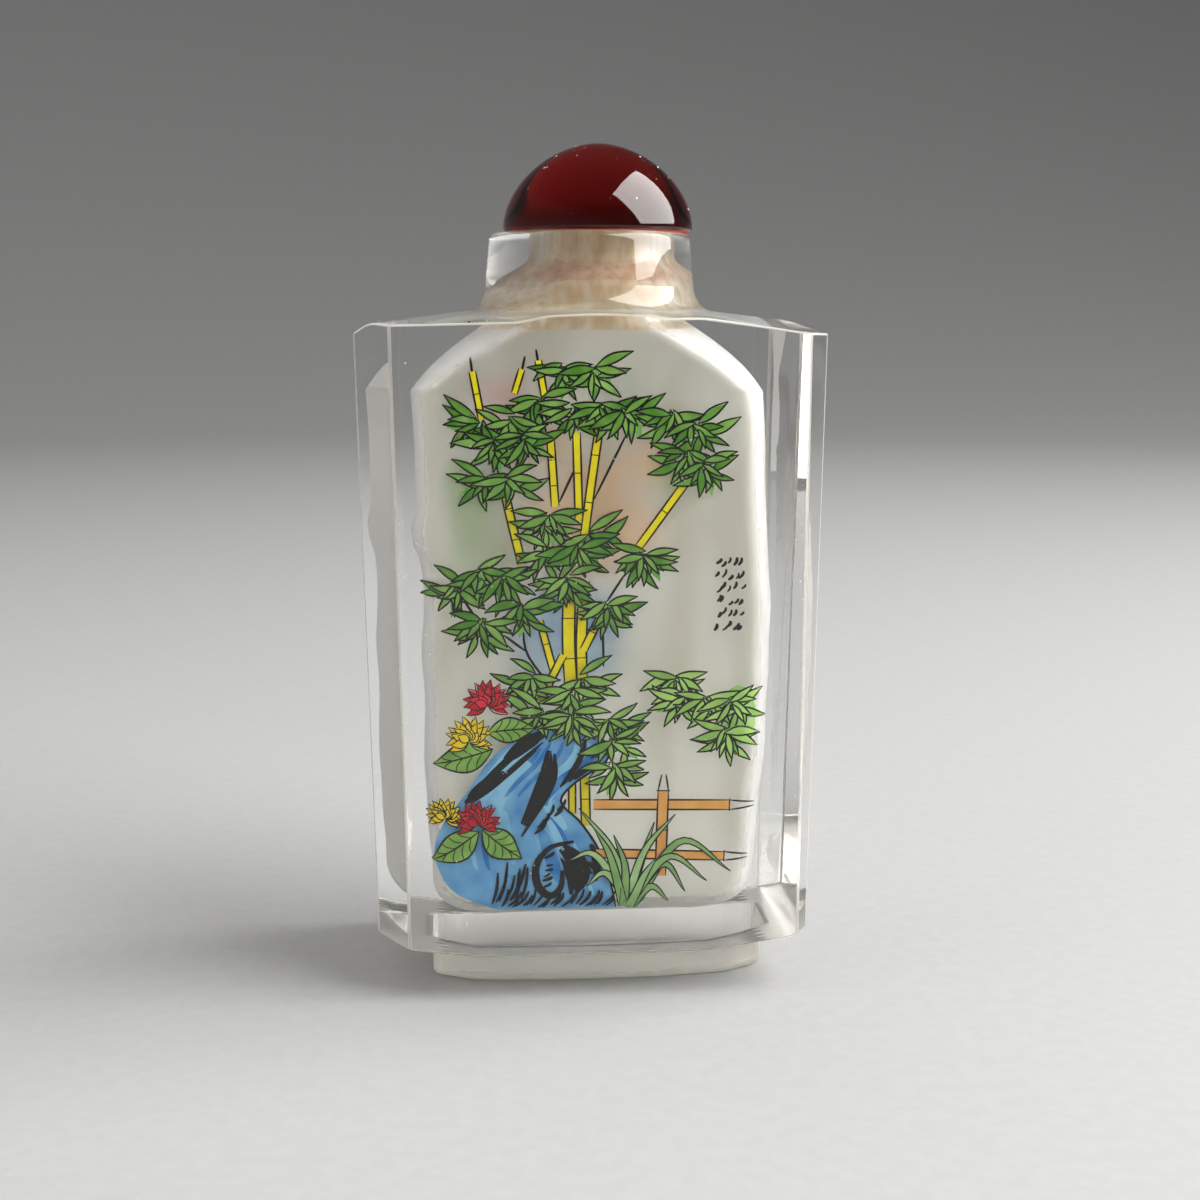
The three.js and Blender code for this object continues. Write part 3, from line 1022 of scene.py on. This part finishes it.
def brush(picture, points, width):
    """A broad dry stroke of ink, as a bundle of hairs that draw together toward its ends."""
    core = curve(points, BRUSH_STEPS)
    swell = np.sin(np.pi * np.linspace(0.1, 0.9, len(core)))[:, None]
    picture.line(core[2:-2], width * BRUSH_CORE, lift=None)
    for _ in range(2 + int(width * HAIRS_PER_WIDTH)):
        first = picture.rng.randrange(RAGGED_STEPS)
        last = len(core) - picture.rng.randrange(RAGGED_STEPS)
        aside = sideways(core) * swell * width * picture.jitter(HAIR_SPREAD)
        picture.line((core + aside)[first:last], picture.between(*HAIR_WIDTHS), lift=None)


def hatch(picture, start, end, strokes, length, angle):
    """A row of short slanting strokes."""
    for place in np.linspace(0, 1, strokes):
        foot = mix(np.array(start), np.array(end), place) + picture.scatter(HATCH_SCATTER)
        ahead = heading(angle + picture.jitter(HATCH_TURN)) * (length * picture.between(*HATCH_REACH))
        bow = foot + ahead * HATCH_BOW + HATCH_BULGE
        picture.line(curve([foot, bow, foot + ahead], 7), picture.between(*HATCH_WIDTHS))


ROCK_LEFT = (
    (7.7, -9), (9.4, -12.6), (12, -14.7), (16, -14.4), (19.7, -11.8), (23.6, -8.7), (26.2, -4.6),
)
ROCK_RIGHT = (
    (7.7, 2.3), (10.5, 1.7), (13.5, 0.7), (16.5, -1.2), (18.6, -3), (20.5, -1.4), (22.2, 1.2), (24.6, 0.8),
    (26.2, -3),
)
ROCK_STROKES = (
    (((-4.2, 25.3), (-6.4, 24.1), (-8.6, 22.2)), 1.1),
    (((-4.2, 25.6), (-8.3, 22.3), (-12.4, 18.2)), 0.45),
    (((-8, 21.5), (-10.2, 20.1), (-12.5, 18.2)), 1.1),
    (((-4.6, 24.3), (-7.2, 22.1), (-10, 19.6)), 0.3),
    (((-4, 23.5), (-4.3, 21), (-5.3, 18.4), (-6.7, 15.9)), 1.3),
    (((-3.6, 23.2), (-3.9, 20.2), (-6.8, 15.2)), 0.35),
    (((-0.6, 24.6), (-1.3, 22.3), (-3, 19.9)), 0.45),
    (((0.9, 22.4), (-0.8, 21.6), (-2.2, 20.4)), 0.4),
    (((-1.8, 14.6), (-4.2, 14), (-5.4, 12.2), (-5.2, 10.2), (-4, 9.2), (-3, 10.2), (-2.9, 12.4)), 0.5),
    (((-3.2, 14.2), (-1.7, 12.6), (-1.3, 11), (-1.8, 9.2)), 2.2),
    (((-0.4, 14.6), (0.4, 12.6), (0.2, 10.4)), 0.6),
)

# Rows of strokes on the rock as (start, end, strokes, length, angle)
ROCK_HATCHES = (
    ((-8.5, 8.2), (1.4, 8), 24, 1.9, 62), ((-9.6, 8.6), (-6.8, 8.8), 8, 3.4, 76),
    ((-5.6, 15.4), (-3.2, 17.6), 7, 1.5, 55), ((-0.8, 11.2), (1.2, 11.8), 6, 1.6, 128),
    ((-4.9, 10.2), (-4.5, 13), 6, 1.1, 20),
)


def rock(picture):
    """A garden rock in blue wash with heavy ink strokes."""
    heights = np.linspace(ROCK_LEFT[0][0], ROCK_LEFT[-1][0], ROCK_ROWS)
    left = np.column_stack([smooth_through(ROCK_LEFT, heights), heights])
    right = np.column_stack([smooth_through(ROCK_RIGHT, heights), heights])
    picture.strip("rock", left, right, ROCK_TONE, columns=16)
    for _ in range(ROCK_STREAKS):
        place = picture.rng.randrange(2, ROCK_ROWS - STREAK_ROWS - 2)
        share = picture.between(0.1, 0.9)
        rows = slice(place, place + STREAK_ROWS)
        run = left[rows] * share + right[rows] * (1 - share)
        width = picture.between(*STREAK_WIDTHS)
        picture.line(run, width, "rock", picture.rng.choice(STREAK_TONES), lift=None)
    picture.line(right, HEAVY_INK)
    for stroke in ROCK_STROKES:
        brush(picture, *stroke)
    for row in ROCK_HATCHES:
        hatch(picture, *row)


STALKS = (
    (((-2, 29.6), (-2.2, 34), (-2.1, 39.6)), 1.15, 2),
    (((-0.9, 29.8), (-1, 34), (-0.7, 39.6)), 0.95, 2),
    (((-3.6, 31), (-4.9, 35.9)), 0.65, 1),
    (((-4.9, 28.2), (-2.7, 32.6)), 0.7, 0),
    (((-0.8, 33), (0.8, 36.2)), 0.7, 1),
    (((-10.1, 54.6), (-10.9, 59)), 0.6, 1),
    (((-4.3, 56.6), (-4.9, 60)), 0.6, 0),
    (((-7.1, 57), (-6.4, 59.2)), 0.55, 0),
    (((-3.4, 46.6), (-3.8, 52.8)), 0.7, 2),
    (((-1.2, 45.3), (-1.4, 53.4)), 0.7, 1),
    (((-0.7, 43.8), (0, 49), (0.9, 55.2)), 0.75, 2),
    (((-6.5, 41.2), (-7.4, 45), (-8.2, 48.6)), 0.75, 2),
    (((4.3, 42.6), (8.9, 48.9)), 0.7, 1),
    (((-1.9, 17.2), (-1.9, 20.8)), 0.65, 0),
    (((-0.6, 16), (-0.7, 20.8)), 0.85, 1),
)
TWIGS = (
    ((-1.5, 50.2), (-3, 47)),
    ((0.2, 47.2), (1.8, 50.4), (3.3, 53.4)),
    ((-6.5, 35.6), (-6.1, 32.8), (-4.2, 30)),
    ((-8.3, 34.6), (-6.2, 33)),
    ((1.1, 31.4), (1, 35.6)),
    ((-9.2, 52.6), (-8.6, 49.6)),
    ((3.1, 40.2), (1.4, 37.6)),
    ((-12, 38), (-10.8, 36.2)),
    ((-10.9, 58.8), (-11.1, 60.3)),
    ((-4.9, 59.8), (-5.1, 61)),
    ((-6.4, 59), (-6.1, 60.4)),
)

# Sprays of leaves as (x, z, lean, leaves), the lean in degrees from straight right
CANOPY = (
    (-2.6, 59.4, -90, 4), (0.1, 59.2, -60, 4), (-4.9, 56.4, -90, 7), (-7.4, 54.9, -120, 5),
    (-10.3, 54.4, -165, 5), (-1.7, 55.9, -90, 5), (1, 55.8, -50, 5), (3, 55.4, -30, 4),
    (7.3, 55.2, -90, 7), (9.5, 54, -40, 5), (-8.9, 52.9, -100, 5), (-6.5, 53, -40, 5),
    (8.7, 51.4, -120, 6), (10.4, 50.4, -40, 5), (-9.6, 49.2, -130, 4), (-7.8, 49.2, -50, 4),
    (-4.2, 45.8, -95, 7), (-0.2, 44.1, -20, 4), (-4, 42.6, -115, 5), (-1.3, 42.8, -70, 5),
    (-2.4, 39.9, -90, 7), (4.8, 42.1, -90, 8), (1.6, 37.4, -80, 6), (-12.4, 39.3, -135, 6),
    (-10.5, 40.8, -60, 4), (-8.3, 40.1, -50, 5), (-6.7, 37.4, -60, 5), (-10.3, 36, -100, 8),
)
UNDERGROWTH = (
    (-5.6, 30.6, -130, 5), (-0.9, 30.4, -40, 5), (-1.8, 29.2, -90, 5), (-4.7, 27.3, -150, 5),
    (1.7, 26.3, -50, 5), (-1.8, 27, -90, 6), (1.9, 24.3, -35, 4), (1.9, 22, -65, 6),
)
BRIGHT_BOUGH = (
    (7.8, 30.4, -90, 7), (8.7, 28.5, -130, 6), (10.8, 28.4, -85, 5), (13, 28, -40, 5),
    (12.8, 25.2, -100, 6),
)
BOUGH_WASH = (13.9, 26.6, 1.7, 2.9)
FLOWERS = (
    (-9.9, 28.7, 2.5, "red"), (-11.6, 25.3, 2.5, "yellow"),
    (-14, 17.7, 2, "yellow"), (-10.9, 17.2, 2.4, "red"),
)
BROAD_LEAVES = (
    ((-9.4, 23.8), 194, 5.8, 2.9), ((-9.9, 25.4), 4, 4.6, 2.4),
    ((-10.8, 15.8), 214, 5.4, 2.8), ((-10.5, 16), -38, 4.8, 2.8),
)
RAILS = (
    ((0.1, 18.2), (15.6, 17.8), 0.95), ((0.3, 13.4), (15, 12.7), 0.85), ((6.5, 11), (6.8, 21), 1),
)
GRASS = (
    ((1.9, 13.6), (-1.3, 17.9)), ((4.6, 12.4), (5.9, 16.4)), ((4.9, 13.4), (7.9, 17.1)),
    ((8.4, 14.4), (13.3, 11.3)), ((6.7, 12.2), (8.9, 9.4)), ((0.3, 13.2), (-2.3, 12.8)),
    ((1.3, 11.4), (-0.6, 10.2)), ((5.6, 10), (7.3, 8.4)), ((3.1, 12), (2, 15.2)),
    ((1.7, 13), (0.2, 15.8)), ((7.2, 12.9), (11, 10.4)), ((4.9, 11), (6.1, 12.8)),
)
GRASS_FOOT = (3.4, 8)

# A short crack in the inner wall, at the chipped place on its left
CRACK = ((-16.3, 43.3), (-15.4, 42.8), (-14.4, 42))

# The column of ticks as (left, right, top), and the ticks of a row as (strokes, length, angle)
STROKE_COLUMN = (11.6, 13.8, 41)
STROKE_ROWS = 6
STROKE_ROW_STEP = 1.2
TICKS = (5, 0.8, 58)


def grass(picture):
    """A tuft of long arching blades from one foot."""
    for middle, tip in GRASS:
        foot = (GRASS_FOOT[0] + picture.jitter(GRASS_SCATTER), GRASS_FOOT[1])
        line = curve([foot, middle, tip], GRASS_STEPS)
        narrowing = 1 - np.linspace(0, 1, len(line)) ** 2
        half = (GRASS_HALF_WIDTH * narrowing + GRASS_TIP)[:, None] * sideways(line)
        picture.outlined("grass", line + half, line - half, picture.between(*GRASS_TONES), GRASS_INK)


def stroke_column(picture):
    """A narrow column of plain slanting ticks beside the picture."""
    left, right, top = STROKE_COLUMN
    for row in range(STROKE_ROWS):
        z = top - row * STROKE_ROW_STEP
        hatch(picture, (left, z), (right, z), *TICKS)


def front_picture():
    """Bamboo by a blue garden rock, with flowers, a fence and a tuft of grass."""
    picture = Picture("front", -1)
    for twig in TWIGS:
        picture.line(curve(twig, 8), HEAVY_INK)
    for row in STALKS:
        stalk(picture, *row)
    sprays(picture, CANOPY, 0.12)
    rock(picture)
    sprays(picture, UNDERGROWTH, 0.3)
    patch(picture, "wash", *BOUGH_WASH, 0.5)
    sprays(picture, BRIGHT_BOUGH, 0.48)
    for row in RAILS:
        rail(picture, *row)
    for row in BROAD_LEAVES:
        broad_leaf(picture, *row)
    for row in FLOWERS:
        flower(picture, *row)
    grass(picture)
    stroke_column(picture)
    picture.line(curve(CRACK), INK_WIDTH, "chalk", 0.5, lift=None)
    return picture


# Washes on the back wall as (x, z, half width, half height), by their colour and the one that shows through
HILLS = ((-0.9, 29.6, 5.4, 1.8), (-2.6, 31.6, 4.8, 2.2), (0.2, 33, 4.2, 2.4), (-0.8, 35, 3.4, 2))
WASHES = {
    ("rock", "pool"): HILLS,
    ("wash", "moss"): (
        (-11.2, 44.6, 2.6, 2), (-10.6, 40.8, 2.8, 2), (-12.4, 47.8, 2, 1.8), (9.6, 48, 2.2, 1.6),
    ),
    ("peach", "coral"): (
        (1.2, 47.2, 3, 2), (4.6, 42.8, 3.4, 2.2), (-2.6, 44.2, 2.6, 1.8), (6.4, 49.2, 2.2, 1.6),
        (0.4, 40.2, 2.8, 1.9), (-3.4, 51.2, 1.9, 1.4),
    ),
    ("peach", "red"): ((-8, 56.2, 2, 1.3),),
}
BRANCH = ((-11, 15), (-6, 24), (-3, 35), (2, 45), (5, 54))
BRANCH_WIDTH = 1.5
BRANCH_TWIGS = (
    ((-3, 35), (-7, 40), (-11, 43)), ((0, 41), (5, 43), (8, 48)), ((2, 45), (-3, 51), (-8, 56)),
)
BRANCH_TWIG_WIDTH = 0.7
BRANCH_SPRAYS = (
    (-9.6, 46, -90, 5), (-9, 42, -110, 5), (-10, 49, -70, 5), (9, 49, -60, 5), (4, 57, -50, 4),
    (-7, 22, -40, 5), (-10, 17, -60, 5),
)
BLOSSOMS = (
    (1.2, 47, 4.2), (4.6, 42.5, 4.6), (-2.6, 44, 3.8), (6.4, 49, 3.4), (0.4, 40, 4), (-8, 56, 3.2),
    (-3.4, 51, 3),
)


def back_picture():
    """A plainer picture on the back wall: a blossoming branch over blue hills."""
    picture = Picture("back", 1, SEED + 1)
    for (colour, _), washes in WASHES.items():
        for wash in washes:
            patch(picture, colour, *wash, 0.5)
    ridge = np.linspace(-1, 1, RIDGE_STEPS)
    for x, z, half_width, _ in HILLS:
        rise = RIDGE_RISE * (1 - ridge ** 2) + 0.3 * np.sin(9 * ridge + x)
        picture.line(np.column_stack([x + half_width * ridge, z + rise]))
    picture.line(curve(BRANCH, 24), BRANCH_WIDTH, "bark", lift=None)
    for twig in BRANCH_TWIGS:
        picture.line(curve(twig), BRANCH_TWIG_WIDTH, "bark", lift=None)
    sprays(picture, BRANCH_SPRAYS, 0.2, BACK_SPRAY_LENGTH)
    for x, z, size in BLOSSOMS:
        flower(picture, x, z, size, "peach")
    return picture


def patch(picture, colour, x, z, half_width, half_height, tone):
    """An oval wash of colour."""
    heights = np.linspace(-1, 1, PATCH_ROWS)
    swell = half_width * np.sqrt(np.maximum(1 - heights ** 2, 0.01))
    left = np.column_stack([x - swell, z + half_height * heights])
    right = np.column_stack([x + swell, z + half_height * heights])
    picture.strip(colour, left, right, tone, columns=8)


def back_patches():
    """The back picture's colours again, deeper, on the side of its wall that the hollow sees."""
    picture = Picture("patch", 1, depth=-FIRST_FILM, step=-FILM_STEP)
    for (_, colour), washes in WASHES.items():
        for wash in washes:
            patch(picture, colour, *wash, 0.3)
    return picture


def make_specks(material):
    """Dust and tiny chips on the front face and the dome, with a smudge of them at the left."""
    rng = random.Random(SEED + 2)
    front = Vector((0, -1, 0))
    spots = [(rng.uniform(*DUST_X), rng.uniform(*DUST_Z)) for _ in range(DUST_COUNT)]
    spots += [(rng.gauss(*SMUDGE_X), rng.gauss(*SMUDGE_Z)) for _ in range(CHIP_COUNT)]
    for edge_x, heights in CHIPPED_EDGES:
        spots += [(rng.gauss(edge_x, CHIP_SCATTER), rng.uniform(*heights)) for _ in range(CHIP_COUNT)]
    places = [(Vector((x, -HALF_DEPTH - FACE_WAVE, z)), front, FACE_SPECK) for x, z in spots]
    for _ in range(DOME_DUST_COUNT):
        around = rng.uniform(-math.pi, 0)
        turn = rng.uniform(*DOME_DUST_TURNS)
        radius, height = dome_point(turn, RIM_Z)
        away = Vector((math.cos(around) * math.cos(turn), math.sin(around) * math.cos(turn), math.sin(turn)))
        spot = Vector((MOUTH_X + radius * math.cos(around), radius * math.sin(around), height))
        places.append((spot, away, DOME_SPECK))
    points = []
    faces = []
    for place, away, growth in places:
        size = SMALLEST_SPECK + growth * rng.random() ** 3
        aside = away.orthogonal().normalized()
        across = away.cross(aside)
        start = len(points)
        for side in range(SPECK_SIDES):
            turn = 2 * math.pi * side / SPECK_SIDES
            reach = size * rng.uniform(*SPECK_REACH)
            points.append(place + reach * (math.cos(turn) * aside + math.sin(turn) * across))
        points.append(place + away * size * SPECK_HEIGHT)
        for side in range(SPECK_SIDES):
            faces.append((start + side, start + (side + 1) % SPECK_SIDES, start + SPECK_SIDES))
    return mesh_object("specks", points, faces, [material])


# Studio

def make_floor(material):
    """A pale dish: a flat floor that curves up into a wall all round."""
    outside = DISH_FLAT + DISH_SWEEP
    line = [(DISH_FLAT * INNER_RING, 0)]
    line += [(outside - inset, rise) for inset, rise in round_over(DISH_SWEEP, DISH_STATIONS)]
    line.append((outside, DISH_HEIGHT))
    angles = np.linspace(0, 2 * np.pi, ROUND_STEPS, endpoint=False)
    points, faces = loft([ring_at(circle(0, radius, -angles), height - AIR_GAP) for radius, height in line])
    without_lid = [face for face in faces if len(points) - 1 not in face]
    return mesh_object("floor", points, without_lid, [material])


def add_light(name, place, target, size, power, colour, mirrored=True):
    """A soft rectangular light, placed and aimed in millimetres, that shows in reflections or not."""
    data = bpy.data.lights.new(name, "AREA")
    data.shape = "RECTANGLE"
    data.size, data.size_y = (side * MM for side in size)
    data.energy = power
    data.color = colour
    light = add_object(name, data)
    light.location = Vector(place) * MM
    light.visible_glossy = mirrored
    aim = Vector(target) - Vector(place)
    light.rotation_euler = aim.to_track_quat("-Z", "Y").to_euler()


def make_studio():
    scene = bpy.context.scene
    scene.view_settings.view_transform = "Standard"
    world = bpy.data.worlds.new("studio")
    world.use_nodes = True
    sky = world.node_tree.nodes["Background"]
    sky.inputs["Color"].default_value = SKY_COLOUR
    sky.inputs["Strength"].default_value = SKY_STRENGTH
    scene.world = world
    add_light("window", (450, -130, 430), (0, 0, 80), (660, 680), 12.0, DAYLIGHT)
    add_light("overhead", (-150, 150, 1000), (0, 0, 40), (1000, 900), 5.5, DAYLIGHT, mirrored=False)
    add_light("fill", (-520, -180, 240), (0, 0, 40), (500, 500), 1.4, LAMPLIGHT, mirrored=False)


def make_camera():
    data = bpy.data.cameras.new("camera")
    data.lens = LENS
    data.sensor_width = SENSOR
    data.clip_start = CLIP_START * MM
    camera = add_object("camera", data)
    camera.location = Vector(CAMERA_PLACE) * MM
    camera.rotation_euler = (math.radians(90 - CAMERA_PITCH), 0, math.radians(-CAMERA_YAW))
    bpy.context.scene.camera = camera


def place(piece, slot, *nodes):
    """Fixes a piece to the part and hides the nodes that it stands for; the slot is not used."""
    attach(piece, "root")
    if nodes:
        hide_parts(*nodes)


make_camera()
make_studio()
make_floor(studio_floor())

place(make_bottle(make_finishes()), "clear_glass", "bottle")
place(make_dome(red_glass(), red_base()), "red_glass", "stopper_dome")
place(make_cork(cork_skin()), "cork", "stopper_cork")

paints = {name: paint(name, dark, light) for name, (dark, light) in PAINTS.items()}
for picture in (front_picture(), back_picture(), back_patches()):
    for film in picture.pieces(paints):
        place(film, "clear_glass")
place(make_specks(dust()), "clear_glass")
